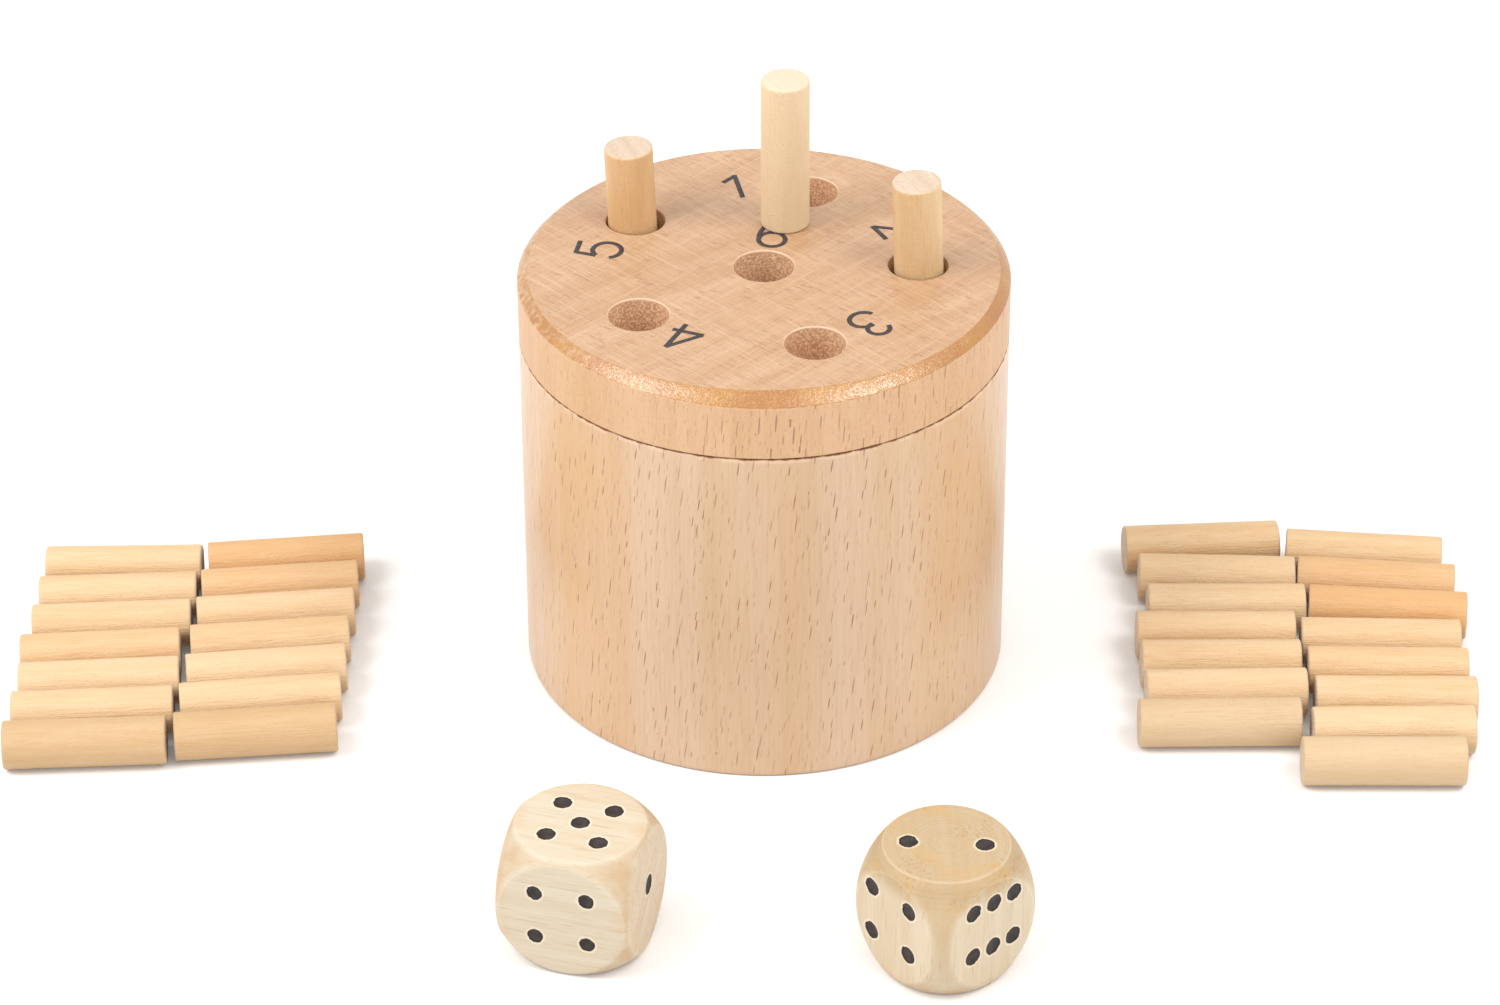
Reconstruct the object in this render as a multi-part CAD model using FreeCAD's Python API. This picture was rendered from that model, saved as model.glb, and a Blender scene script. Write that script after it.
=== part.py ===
# Wooden dice game: a turned round box with a peg-board lid, a stock of round sticks and two dice.
# Millimetres, +Z up. The origin is the centre of the box's base, on the table; the player sits at -Y.
import FreeCAD, Part
import math
import os

from FreeCAD import Placement, Rotation, Vector

# Box: a cup turned from one bar of beech
box_diameter = 90.0
box_height = 69.4             # table to the seam under the lid
wall_thickness = 7.5
floor_thickness = 8.0
base_edge_break = 0.8
bore_corner_round = 3.0       # inside, between the floor and the wall
seam_edge_break = 0.35        # on both edges that meet at the seam

# Lid: a disc from the same bar, with a plug that drops into the box
lid_thickness = 12.9          # the part that shows above the seam
lid_edge_round = 4.0
plug_depth = 6.0
plug_clearance = 0.4          # all round, between the plug and the bore
plug_edge_break = 0.8

# Holes: blind ones in a ring, numbered clockwise seen from above, and one right through the middle
ring_hole_count = 5
first_hole_angle = 72.7       # of the hole numbered 1, in degrees from +X
hole_clearance = 1.0          # all round a stick
hole_edge = 3.5               # wood between a ring hole and the side of the plug
hole_floors = {1: 5.3, 2: 6.5, 3: 5.7, 4: 4.9, 5: 4.5}    # wood left under each, drilled by eye
hole_strays = {5: 0.9}        # holes drilled outside the ring, by this much
hole_edge_break = 0.35

# Sticks: lengths sawn from one dowel
stick_diameter = 9.0
stick_length = 30.0
stick_edge_break = 0.3
stick_gap = 0.2               # between neighbours, and between a stick and the wall it is pushed to

# Sticks in the ring holes, by hole number: the direction each is pushed in, in degrees from +X
stick_push_angle = {2: -60.0, 5: -125.0}
stick_lean = 2.0              # degrees from upright, towards -X

# Stick standing on the lid, between the middle hole and the hole numbered 1
standing_beyond_middle = 2.0  # past half way to the ring hole
standing_swing = 3.0          # degrees counter-clockwise of the line between the two holes

# Lying sticks: two columns on each side of the box. Each stick has its endways shift in millimetres
# and its turn in degrees, from the back of the column to the front.
left_gap = 33.0               # box wall to the inner column on the left
right_gap = 25.5              # box wall to the inner column on the right
column_gap = 0.9              # between the ends of the two columns
left_outer_back = 17.1        # Y of the rearmost stick of each column
left_inner_back = 19.5
right_inner_back = 23.5
right_outer_back = 19.9
left_outer = ((0.5, 1.0), (0.3, 3.0), (0.0, 3.5), (-1.2, 4.5), (-0.5, 4.0), (-0.8, 3.5), (-1.3, 3.0))
left_inner = ((0.6, 6.0), (0.1, 6.0), (0.0, 6.0), (-0.4, 6.0), (-0.4, 6.5), (-0.8, 6.5), (-1.0, 5.5))
right_inner = ((-0.9, 3.5), (1.3, -2.5), (2.4, -0.5), (-0.3, -0.5), (0.0, 0.0), (0.3, 1.0), (-1.6, 0.5))
right_outer = ((-0.6, -6.0), (0.8, -6.0), (2.1, -5.5), (-0.3, -2.0), (0.1, -1.5), (0.7, -1.0),
               (-0.7, 0.5), (-3.4, -0.5))

# Dice: cubes turned down to a barrel that rounds the corners off, by hand and so not quite alike,
# with drilled and painted pips
die_size = 24.5
left_die_girth = 33.6         # across the barrel at mid-height
right_die_girth = 31.2
left_die_top = 23.0           # across the round face on top
right_die_top = 22.3
pip_diameter = 3.2
pip_depth = 0.5
pip_spread = 4.7              # from the middle of a face to a pip, both ways
left_pip_lift = {"-y": 0.3, "+x": 1.3}      # faces whose pips sit above the middle
right_pip_lift = {"-x": 1.0, "-y": 1.7}
right_pip_shift = {"-x": -0.8}              # the face whose pips sit to one side of the middle
left_pip_trim = {"-y": 0.5}                 # the face whose pips are narrower than the rest
left_die_count = {"+z": 5, "-z": 2, "-y": 4, "+y": 3, "+x": 1, "-x": 6}
right_die_count = {"+z": 2, "-z": 5, "-y": 6, "+y": 1, "+x": 3, "-x": 4}
left_die_offset = -32.3       # X of each die
right_die_offset = 31.1
left_die_gap = 46.1           # box wall to the middle of each die, towards the player
right_die_gap = 52.3
left_die_turn = -16.0         # degrees about Z
right_die_turn = 40.5

# Sizes that follow from these
box_radius = box_diameter / 2
bore_radius = box_radius - wall_thickness
plug_radius = bore_radius - plug_clearance
lid_top = box_height + lid_thickness
plug_bottom = box_height - plug_depth
stick_radius = stick_diameter / 2
hole_radius = stick_radius + hole_clearance
hole_ring_radius = plug_radius - hole_edge - hole_radius


def turned(points):
    """Solid of revolution about Z through (radius, height) points; a point given as
    ("arc", middle, end) is reached by a round stretch through the middle point."""
    edges = []
    here = Vector(points[0][0], 0, points[0][1])
    for point in points[1:] + points[:1]:
        if point[0] == "arc":
            middle = Vector(point[1][0], 0, point[1][1])
            there = Vector(point[2][0], 0, point[2][1])
            edges.append(Part.Arc(here, middle, there).toShape())
        else:
            there = Vector(point[0], 0, point[1])
            edges.append(Part.makeLine(here, there))
        here = there
    return Part.Face(Part.Wire(edges)).revolve(Vector(0, 0, 0), Vector(0, 0, 1), 360)


def rounded_corner(radius, height, size, out, up):
    """Start, middle and end of a quarter round of this size, from the side at the given radius to
    the face at the given height. out and up are +1 or -1: the way the corner points."""
    inset = size * (1 - math.sqrt(0.5))
    side = (radius, height - up * size)
    middle = (radius - out * inset, height - up * inset)
    face = (radius - out * size, height)
    return side, middle, face


def box_solid():
    """Cup with a flat base, a rounded inside corner and broken edges at the base and the rim."""
    wall_side, corner_middle, floor_side = rounded_corner(
        bore_radius, floor_thickness, bore_corner_round, out=1, up=-1)
    return turned([
        (0, 0),
        (box_radius - base_edge_break, 0),
        (box_radius, base_edge_break),
        (box_radius, box_height - seam_edge_break),
        (box_radius - seam_edge_break, box_height),
        (bore_radius + seam_edge_break, box_height),
        (bore_radius, box_height - seam_edge_break),
        wall_side,
        ("arc", corner_middle, floor_side),
        (0, floor_thickness),
    ])


def ring_hole_place(number):
    """Centre of a numbered ring hole, seen from above."""
    angle = math.radians(first_hole_angle - (number - 1) * 360.0 / ring_hole_count)
    reach = hole_ring_radius + hole_strays.get(number, 0)
    return Vector(reach * math.cos(angle), reach * math.sin(angle), 0)


def hole_floor_height(number):
    """Height of the floor of a numbered ring hole."""
    return plug_bottom + hole_floors[number]


def hole_cutter(bottom):
    """Round cutter from the given height up to the lid's face, with the broken edge of its mouth."""
    shaft = Part.makeCylinder(hole_radius, lid_top - bottom, Vector(0, 0, bottom))
    mouth = Part.makeCone(hole_radius, hole_radius + hole_edge_break, hole_edge_break,
                          Vector(0, 0, lid_top - hole_edge_break))
    return shaft.fuse(mouth)


def lid_solid():
    """Disc with a rounded top edge and a plug below, drilled with the numbered holes."""
    side, edge_middle, face = rounded_corner(box_radius, lid_top, lid_edge_round, out=1, up=1)
    lid = turned([
        (0, plug_bottom),
        (plug_radius - plug_edge_break, plug_bottom),
        (plug_radius, plug_bottom + plug_edge_break),
        (plug_radius, box_height),
        (box_radius - seam_edge_break, box_height),
        (box_radius, box_height + seam_edge_break),
        side,
        ("arc", edge_middle, face),
        (0, lid_top),
    ])
    cutters = [hole_cutter(plug_bottom)]
    for number in range(1, ring_hole_count + 1):
        cutter = hole_cutter(hole_floor_height(number))
        cutter.translate(ring_hole_place(number))
        cutters.append(cutter)
    return lid.cut(cutters)


def upright_stick(place):
    """Dowel standing on its end at the given point, with broken edges at both ends."""
    stick = turned([
        (0, 0),
        (stick_radius - stick_edge_break, 0),
        (stick_radius, stick_edge_break),
        (stick_radius, stick_length - stick_edge_break),
        (stick_radius - stick_edge_break, stick_length),
        (0, stick_length),
    ])
    stick.translate(place)
    return stick


def stick_in_hole(number, push_angle):
    """Stick standing on the floor of a ring hole, leaning, and pushed towards one side of it half way
    down by what the lean leaves of the clearance."""
    floor = hole_floor_height(number)
    lean = math.radians(stick_lean)
    drift = (lid_top - floor) / 2 * math.tan(lean)
    foot_lift = (stick_radius - stick_edge_break) * math.sin(lean)
    push = hole_clearance - stick_gap - drift
    angle = math.radians(push_angle)
    foot = Vector(push * math.cos(angle) + drift, push * math.sin(angle), floor + foot_lift)
    stick = upright_stick(Vector(0, 0, 0))
    stick.Placement = Placement(ring_hole_place(number) + foot, Rotation(Vector(0, 1, 0), -stick_lean))
    return stick


def stick_on_lid():
    """Stick standing on the lid's face between the middle hole and the hole numbered 1."""
    reach = hole_ring_radius / 2 + standing_beyond_middle
    angle = math.radians(first_hole_angle + standing_swing)
    return upright_stick(Vector(reach * math.cos(angle), reach * math.sin(angle), lid_top))


def lying_stick(column_x, y, shift, turn):
    """Stick lying on the table, turned from X at the column's line and then shifted endways."""
    stick = upright_stick(Vector(0, 0, shift - stick_length / 2))
    lay_down = Rotation(Vector(0, 1, 0), 90)
    swing = Rotation(Vector(0, 0, 1), turn)
    stick.Placement = Placement(Vector(column_x, y, stick_radius), swing.multiply(lay_down)).multiply(
        stick.Placement)
    return stick


def stick_column(name, column_x, back_y, sticks):
    """Named sticks laid side by side from the back of a column to the front. Two neighbours that are
    turned differently lie further apart, by what their ends swing towards each other."""
    column = {}
    y = back_y
    last_shift, last_turn = sticks[0]
    for number, (shift, turn) in enumerate(sticks, start=1):
        if number > 1:
            steepest = math.radians(max(abs(turn), abs(last_turn)))
            reach = stick_length / 2 + max(abs(shift), abs(last_shift))
            swing = reach * abs(math.sin(math.radians(turn - last_turn)))
            y -= (stick_diameter + stick_gap) / math.cos(steepest) + swing
        column[f"stick_{name}_{number}"] = lying_stick(column_x, y, shift, turn)
        last_shift, last_turn = shift, turn
    return column


def lying_sticks():
    """Both players' stocks, left and right of the box."""
    left_inner_x = -(box_radius + left_gap + stick_length / 2)
    right_inner_x = box_radius + right_gap + stick_length / 2
    step = stick_length + column_gap
    sticks = {}
    sticks.update(stick_column("left_outer", left_inner_x - step, left_outer_back, left_outer))
    sticks.update(stick_column("left_inner", left_inner_x, left_inner_back, left_inner))
    sticks.update(stick_column("right_inner", right_inner_x, right_inner_back, right_inner))
    sticks.update(stick_column("right_outer", right_inner_x + step, right_outer_back, right_outer))
    return sticks


def pip_places(count):
    """Places of a face's pips, in steps of the pip spread across and up the face."""
    corners = [(-1, 1), (1, -1), (-1, -1), (1, 1)]
    places = {
        1: [(0, 0)],
        2: corners[:2],
        3: corners[:2] + [(0, 0)],
        4: corners,
        5: corners + [(0, 0)],
        6: corners + [(0, 1), (0, -1)],
    }
    return places[count]


def die_solid(counts, lifts, shifts, trims, girth, top, offset, gap, turn):
    """Cube cut by a barrel, with a shallow dished pip at each place, standing on the table."""
    half = die_size / 2
    cube = Part.makeBox(die_size, die_size, die_size, Vector(-half, -half, -half))
    barrel = turned([
        (0, -half),
        (top / 2, -half),
        ("arc", (girth / 2, 0), (top / 2, half)),
        (0, half),
    ])
    across_and_up = {
        "+z": (Vector(1, 0, 0), Vector(0, 1, 0)),
        "-z": (Vector(1, 0, 0), Vector(0, -1, 0)),
        "-y": (Vector(1, 0, 0), Vector(0, 0, 1)),
        "+y": (Vector(-1, 0, 0), Vector(0, 0, 1)),
        "+x": (Vector(0, 1, 0), Vector(0, 0, 1)),
        "-x": (Vector(0, -1, 0), Vector(0, 0, 1)),
    }
    dishes = []
    for face, count in counts.items():
        pip_radius = (pip_diameter - trims.get(face, 0)) / 2
        dish_radius = (pip_radius ** 2 + pip_depth ** 2) / (2 * pip_depth)
        across, up = across_and_up[face]
        middle = across.cross(up) * (half + dish_radius - pip_depth)
        middle += up * lifts.get(face, 0) + across * shifts.get(face, 0)
        for step_across, step_up in pip_places(count):
            place = middle + across * (step_across * pip_spread) + up * (step_up * pip_spread)
            dishes.append(Part.makeSphere(dish_radius, place))
    die = cube.common(barrel).cut(dishes)
    die.Placement = Placement(Vector(offset, -(box_radius + gap), half), Rotation(Vector(0, 0, 1), turn))
    return die


pieces = {"box": box_solid(), "lid": lid_solid()}
for number, push_angle in stick_push_angle.items():
    pieces[f"stick_in_hole_{number}"] = stick_in_hole(number, push_angle)
pieces["stick_on_lid"] = stick_on_lid()
pieces.update(lying_sticks())
pieces["die_left"] = die_solid(left_die_count, left_pip_lift, {}, left_pip_trim, left_die_girth,
                               left_die_top, left_die_offset, left_die_gap, left_die_turn)
pieces["die_right"] = die_solid(right_die_count, right_pip_lift, right_pip_shift, {}, right_die_girth,
                                right_die_top, right_die_offset, right_die_gap, right_die_turn)

os.makedirs("parts", exist_ok=True)
for name, shape in pieces.items():
    shape.exportStep(f"parts/{name}.step")
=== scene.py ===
import bmesh
import bpy
import numpy as np
from mathutils import Matrix


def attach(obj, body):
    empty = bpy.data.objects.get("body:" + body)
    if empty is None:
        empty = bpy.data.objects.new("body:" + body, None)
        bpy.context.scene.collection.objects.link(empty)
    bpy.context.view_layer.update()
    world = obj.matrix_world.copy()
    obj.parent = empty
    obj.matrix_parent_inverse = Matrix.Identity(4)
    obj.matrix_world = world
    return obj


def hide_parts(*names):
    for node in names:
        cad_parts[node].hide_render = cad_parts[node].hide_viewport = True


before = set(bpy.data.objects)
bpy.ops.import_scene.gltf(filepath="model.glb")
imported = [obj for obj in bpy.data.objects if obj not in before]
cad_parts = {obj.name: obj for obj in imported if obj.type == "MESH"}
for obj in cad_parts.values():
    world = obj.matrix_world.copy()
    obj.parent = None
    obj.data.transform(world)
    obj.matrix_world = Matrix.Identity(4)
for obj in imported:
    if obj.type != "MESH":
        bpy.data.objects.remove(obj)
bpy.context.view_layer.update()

# Box: a plain cup turned from one bar of beech, hollowed on the lathe and lacquered satin.
# The fibres run up and down, so the side shows short dark ray flecks and the rim shows end grain.
# It stands loose on the table, and the plug under the lid drops into its bore.
mm = 0.001
box_radius = 45.0
box_height = 69.4
bore_radius = 37.5
box_floor = 8.0
base_break = 0.8
seam_break = 0.4
bore_round = 3.0
box_columns = 300
warm_band = 51.0              # degrees to each side of the front where the side's colour runs warmer
warm_spread = 17.0
bar_turn = np.radians(-125.0)  # way that the growth bands of the bar run, seen on its ends
grain_relief = 0.00003        # metres


def rounded(corners, rounds, hold=0.25, steps=6):
    """Profile through (radius, height) corners, each inner one replaced by an arc of its own round.
    The arc is the rational quadratic curve between two points at round / tan(half angle) from the
    corner, weighted 1, sin(half angle), 1, with a hold point just before it and just after it."""
    corners = np.array(corners, float)
    corner = corners[1:-1, None]
    back = corners[:-2, None] - corner
    ahead = corners[2:, None] - corner
    back = back / np.linalg.norm(back, axis=2, keepdims=True)
    ahead = ahead / np.linalg.norm(ahead, axis=2, keepdims=True)
    cosine = (back * ahead).sum(axis=2, keepdims=True)
    reach = np.array(rounds, float)[:, None, None] * np.sqrt((1 + cosine) / (1 - cosine))
    weight = np.sqrt((1 - cosine) / 2)
    step = np.linspace(0, 1, steps)[None, :, None]
    early = (1 - step) ** 2
    middle = 2 * weight * step * (1 - step)
    late = step ** 2
    arc = early * (corner + back * reach) + middle * corner + late * (corner + ahead * reach)
    arc = arc / (early + middle + late)
    before = corner + back * (reach + hold)
    after = corner + ahead * (reach + hold)
    inner = np.concatenate([before, arc, after], axis=1).reshape(-1, 2)
    return np.concatenate([corners[:1], inner, corners[-1:]])


def turned(profile, angles, centre=(0.0, 0.0)):
    """Surface of revolution: centre plus radius times the cosine and sine of the angle, and height."""
    radius = profile[:, :1]
    x = centre[0] + radius * np.cos(angles)
    y = centre[1] + radius * np.sin(angles)
    z = profile[:, 1:] + 0 * angles
    return np.stack([x, y, z], axis=-1)


def levelness(profile):
    """How much of the end grain shows along a profile: level run over whole length of its slope."""
    slope = np.gradient(profile, axis=0)
    return (np.abs(slope[:, 0]) / np.linalg.norm(slope, axis=1))[:, None]


def make_piece(name, surfaces, material):
    """Mesh object from grids of points in millimetres, one face between four neighbours. Each grid
    brings named values, kept at the face corners. Grids are merged where they meet."""
    points, faces, values = [], [], {}
    count = 0
    for grid, extras in surfaces:
        rows, columns = grid.shape[:2]
        index = count + np.arange(rows * columns).reshape(rows, columns)
        quads = np.stack([index[:-1, :-1], index[:-1, 1:], index[1:, 1:], index[1:, :-1]], axis=-1)
        faces.append(quads.reshape(-1, 4))
        points.append(grid.reshape(-1, 3))
        for key, value in extras.items():
            value = np.asarray(value, float)
            width = value.shape[2:]
            full = np.broadcast_to(value, (rows, columns) + width)
            values.setdefault(key, []).append(full.reshape((-1,) + width))
        count += rows * columns
    points = np.concatenate(points) * mm
    faces = np.concatenate(faces)
    mesh = bpy.data.meshes.new(name)
    mesh.from_pydata(points.tolist(), [], faces.tolist())
    for key, parts in values.items():
        at_corners = np.concatenate(parts)[faces.ravel()]
        kind, slot = ("FLOAT", "value") if at_corners.ndim == 1 else ("FLOAT_VECTOR", "vector")
        mesh.attributes.new(key, kind, "CORNER").data.foreach_set(slot, at_corners.ravel())
    shell = bmesh.new()
    shell.from_mesh(mesh)
    bmesh.ops.remove_doubles(shell, verts=shell.verts, dist=1e-6)
    bmesh.ops.recalc_face_normals(shell, faces=shell.faces)
    shell.to_mesh(mesh)
    shell.free()
    mesh.shade_smooth()
    mesh.materials.append(material)
    piece = bpy.data.objects.new(name, mesh)
    bpy.context.scene.collection.objects.link(piece)
    return piece


def tone(red, green, blue):
    """Shader colour of a colour given in the usual 0 to 255."""
    share = np.array([red, green, blue]) / 255
    linear = np.where(share <= 0.04045, share / 12.92, ((share + 0.055) / 1.055) ** 2.4)
    return (*linear.tolist(), 1.0)


def shader_node(tree, kind, inputs=None, **settings):
    """Node of one kind with its settings; inputs are linked to sockets or set to plain values."""
    node = tree.nodes.new("ShaderNode" + kind)
    for key, value in settings.items():
        setattr(node, key, value)
    for key, value in (inputs or {}).items():
        if isinstance(value, bpy.types.NodeSocket):
            tree.links.new(value, node.inputs[key])
        else:
            node.inputs[key].default_value = value
    return node


def reckon(tree, operation, *values):
    """Result of one Math node."""
    return shader_node(tree, "Math", dict(enumerate(values)), operation=operation).outputs[0]


def move(tree, operation, *values):
    """Result of one Vector Math node."""
    return shader_node(tree, "VectorMath", dict(enumerate(values)), operation=operation).outputs[0]


def between(tree, value, low, high):
    """0 at low and 1 at high, smooth in between."""
    limits = {"Value": value, "From Min": low, "From Max": high}
    return shader_node(tree, "MapRange", limits, interpolation_type="SMOOTHSTEP").outputs[0]


def blend_colour(tree, factor, first, second):
    """Colour that goes from the first to the second as the factor goes from 0 to 1."""
    sockets = {0: factor, 6: first, 7: second}
    return shader_node(tree, "Mix", sockets, data_type="RGBA").outputs[2]


def stain(tree, colour, mask, share, stained):
    """Colour that goes towards the stained one, by this share where the mask is 1."""
    return blend_colour(tree, reckon(tree, "MULTIPLY", mask, share), colour, stained)


def noise(tree, place, scale, detail, roughness=0.5):
    """Value of a noise pattern that follows a place."""
    sockets = {"Vector": place, "Scale": scale, "Detail": detail, "Roughness": roughness}
    return shader_node(tree, "TexNoise", sockets).outputs[0]


def noise_along(tree, distance, scale):
    """Value of a noise pattern that changes with one distance only."""
    sockets = {"W": distance, "Scale": scale, "Detail": 2.0, "Roughness": 0.5}
    return shader_node(tree, "TexNoise", sockets, noise_dimensions="1D").outputs[0]


def spread_value(tree, name):
    """A value that the mesh carries under this name."""
    return shader_node(tree, "Attribute", attribute_name=name).outputs["Fac"]


def place_in_mm(tree):
    """Place on the piece in millimetres."""
    place = shader_node(tree, "TexCoord").outputs["Object"]
    return shader_node(tree, "VectorMath", {0: place, "Scale": 1000.0}, operation="SCALE").outputs[0]


def coordinates(tree, place):
    """The three coordinates of a place."""
    return shader_node(tree, "SeparateXYZ", {0: place}).outputs


def from_turning_axis(tree, place):
    """Distance of a place from the upright axis that the wood is turned on."""
    level = move(tree, "MULTIPLY", place, (1.0, 1.0, 0.0))
    return shader_node(tree, "VectorMath", {0: level}, operation="LENGTH").outputs["Value"]


def from_seam(tree, place):
    """Distance of a place above or below the seam where box and lid meet."""
    return reckon(tree, "ABSOLUTE", reckon(tree, "SUBTRACT", coordinates(tree, place)[2], box_height))


def seam_shade_mask(tree, place, off_seam):
    """Mask of the painted shade in the groove at the seam, drawn as a dark line: ragged, and only on the
    outermost skin of the turned wood.
    """
    ragged = reckon(tree, "ADD", off_seam, reckon(tree, "MULTIPLY", noise(tree, place, 0.6, 3.0), 0.7))
    outermost = between(tree, from_turning_axis(tree, place), box_radius - 0.8, box_radius - 0.3)
    return reckon(tree, "MULTIPLY", between(tree, ragged, 0.65, 0.4), outermost)


def new_group(name, inputs, outputs):
    """Empty node group with named sockets, each the name and F for a value or V for a place."""
    kinds = {"F": "NodeSocketFloat", "V": "NodeSocketVector"}
    group = bpy.data.node_groups.new(name, "ShaderNodeTree")
    for label, kind in inputs.items():
        group.interface.new_socket(label, in_out="INPUT", socket_type=kinds[kind])
    for label in outputs:
        group.interface.new_socket(label, in_out="OUTPUT", socket_type=kinds["F"])
    entry = group.nodes.new("NodeGroupInput")
    leave = group.nodes.new("NodeGroupOutput")
    return group, entry.outputs, leave.inputs


def use_group(tree, group, inputs):
    """Outputs of a shared node group placed in a material."""
    return shader_node(tree, "Group", inputs, node_tree=group).outputs


def new_material(name):
    """Material with one Principled shader: the material, its node tree and the shader."""
    material = bpy.data.materials.new(name)
    material.use_nodes = True
    return material, material.node_tree, material.node_tree.nodes["Principled BSDF"]


def finish_wood(tree, shader, colour, roughness, height, depth):
    """Links colour and roughness to the shader, and a relief of this depth in metres."""
    tree.links.new(colour, shader.inputs["Base Color"])
    tree.links.new(roughness, shader.inputs["Roughness"])
    bump = shader_node(tree, "Bump", {"Strength": 1.0, "Distance": depth, "Height": height})
    tree.links.new(bump.outputs[0], shader.inputs["Normal"])


# Fibre figure of any wood here: broad streaks, fine lines and sparse dashes along the third axis.
fibre_figure, entry, leave = new_group(
    "fibre figure", {"Place": "V", "Across": "F", "Along": "F"}, ["Streak", "Line", "Dash"])
stretch = shader_node(fibre_figure, "CombineXYZ",
                      {0: entry["Across"], 1: entry["Across"], 2: entry["Along"]}).outputs[0]
drawn_out = move(fibre_figure, "DIVIDE", entry["Place"], stretch)
streak = between(fibre_figure, noise(fibre_figure, drawn_out, 1.0, 2.0), 0.3, 0.7)
fibres = noise(fibre_figure, drawn_out, 7.0, 3.0, 0.6)
fibre_figure.links.new(streak, leave["Streak"])
fibre_figure.links.new(between(fibre_figure, fibres, 0.35, 0.7), leave["Line"])
fibre_figure.links.new(between(fibre_figure, fibres, 0.59, 0.69), leave["Dash"])

# Ray flecks of beech round a turned bar: one lens-shaped fleck in each cell, leaning a little.
ray_flecks, entry, leave = new_group(
    "ray flecks", {"Place": "V", "Spacing": "F", "Length": "F", "Width": "F", "Lean": "F"}, ["Fleck"])
spacing = shader_node(ray_flecks, "CombineXYZ", {0: entry["Spacing"], 1: entry["Spacing"],
                                                 2: entry["Spacing"]}).outputs[0]
cell_place = move(ray_flecks, "DIVIDE", entry["Place"], spacing)
cells = shader_node(ray_flecks, "TexVoronoi", {"Vector": cell_place, "Scale": 1.0, "Randomness": 0.75})
from_seed = move(ray_flecks, "SUBTRACT", cell_place, cells.outputs["Position"])
from_seed = move(ray_flecks, "MULTIPLY", from_seed, spacing)
parts = coordinates(ray_flecks, entry["Place"])
sideways = shader_node(ray_flecks, "CombineXYZ", {0: reckon(ray_flecks, "MULTIPLY", parts[1], -1.0),
                                                  1: parts[0]}).outputs[0]
sideways = move(ray_flecks, "NORMALIZE", sideways)
across = shader_node(ray_flecks, "VectorMath", {0: from_seed, 1: sideways},
                     operation="DOT_PRODUCT").outputs["Value"]
along = coordinates(ray_flecks, from_seed)[2]
chance = shader_node(ray_flecks, "SeparateColor", {0: cells.outputs["Color"]}).outputs
across = reckon(ray_flecks, "SUBTRACT", across, reckon(ray_flecks, "MULTIPLY", along, entry["Lean"]))
half_length = reckon(ray_flecks, "MULTIPLY", entry["Length"],
                     reckon(ray_flecks, "MULTIPLY_ADD", chance[0], 0.45, 0.25))
half_width = reckon(ray_flecks, "MULTIPLY", entry["Width"],
                    reckon(ray_flecks, "MULTIPLY_ADD", chance[2], 0.4, 0.35))
taper = reckon(ray_flecks, "POWER", reckon(ray_flecks, "ABSOLUTE",
                                           reckon(ray_flecks, "DIVIDE", along, half_length)), 2.0)
body = reckon(ray_flecks, "DIVIDE", reckon(ray_flecks, "ABSOLUTE", across), half_width)
lens = between(ray_flecks, reckon(ray_flecks, "ADD", taper, body), 1.25, 0.55)
strength = between(ray_flecks, chance[1], 0.1, 0.9)
ray_flecks.links.new(reckon(ray_flecks, "MULTIPLY", lens, strength), leave["Fleck"])

# End grain: growth bands that run straight in one direction and wander a little, with fine pores.
end_grain, entry, leave = new_group(
    "end grain", {"Place": "V", "Turn": "F", "Ring": "F"}, ["Band", "Pore"])
laid = shader_node(end_grain, "VectorRotate", {"Vector": entry["Place"], "Angle": entry["Turn"]},
                   rotation_type="Z_AXIS").outputs[0]
wander = reckon(end_grain, "MULTIPLY_ADD", noise(end_grain, laid, 0.03, 0.0), 8.0, -4.0)
over_rings = coordinates(end_grain, laid)[0]
over_rings = reckon(end_grain, "DIVIDE", reckon(end_grain, "ADD", over_rings, wander), entry["Ring"])
band = noise_along(end_grain, over_rings, 1.0)
end_grain.links.new(between(end_grain, band, 0.3, 0.7), leave["Band"])
pore = between(end_grain, noise(end_grain, laid, 2.6, 2.0, 0.6), 0.45, 0.72)
end_grain.links.new(pore, leave["Pore"])

# Painted shade: the dark brown of the groove where lid and box meet, put into the wood's colour.
seam_shade_tone = tone(120, 70, 36)
box_wood, tree, shader = new_material("lacquered beech bar")
place = place_in_mm(tree)
broad = use_group(tree, fibre_figure, {"Place": place, "Across": 11.0, "Along": 260.0})
fine = use_group(tree, fibre_figure, {"Place": place, "Across": 3.4, "Along": 75.0})
large_flecks = use_group(tree, ray_flecks, {"Place": place, "Spacing": 3.4, "Length": 3.5, "Width": 0.2,
                                            "Lean": 0.13})["Fleck"]
small_flecks = use_group(tree, ray_flecks, {"Place": place, "Spacing": 2.3, "Length": 2.6, "Width": 0.2,
                                            "Lean": 0.1})["Fleck"]
flecks = reckon(tree, "MAXIMUM", large_flecks, reckon(tree, "MULTIPLY", small_flecks, 0.35))
colour = blend_colour(tree, broad["Streak"], tone(197, 169, 141), tone(192, 158, 122))
colour = stain(tree, colour, fine["Streak"], 0.3, tone(199, 168, 140))
colour = stain(tree, colour, fine["Line"], 0.28, tone(174, 138, 104))
patchy = reckon(tree, "MULTIPLY_ADD", noise(tree, place, 0.06, 2.0), 1.4, -0.2)
warmth = reckon(tree, "MULTIPLY", spread_value(tree, "warm"), patchy)
colour = stain(tree, colour, warmth, 0.6, tone(197, 155, 105))
colour = stain(tree, colour, flecks, 0.85, tone(138, 88, 50))
rings = use_group(tree, end_grain, {"Place": place, "Turn": bar_turn, "Ring": 5.0})
cut_across = blend_colour(tree, rings["Band"], tone(192, 156, 124), tone(182, 142, 108))
cut_across = stain(tree, cut_across, rings["Pore"], 0.4, tone(150, 108, 78))
level = between(tree, spread_value(tree, "end"), 0.3, 0.9)
colour = blend_colour(tree, level, colour, cut_across)
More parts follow.
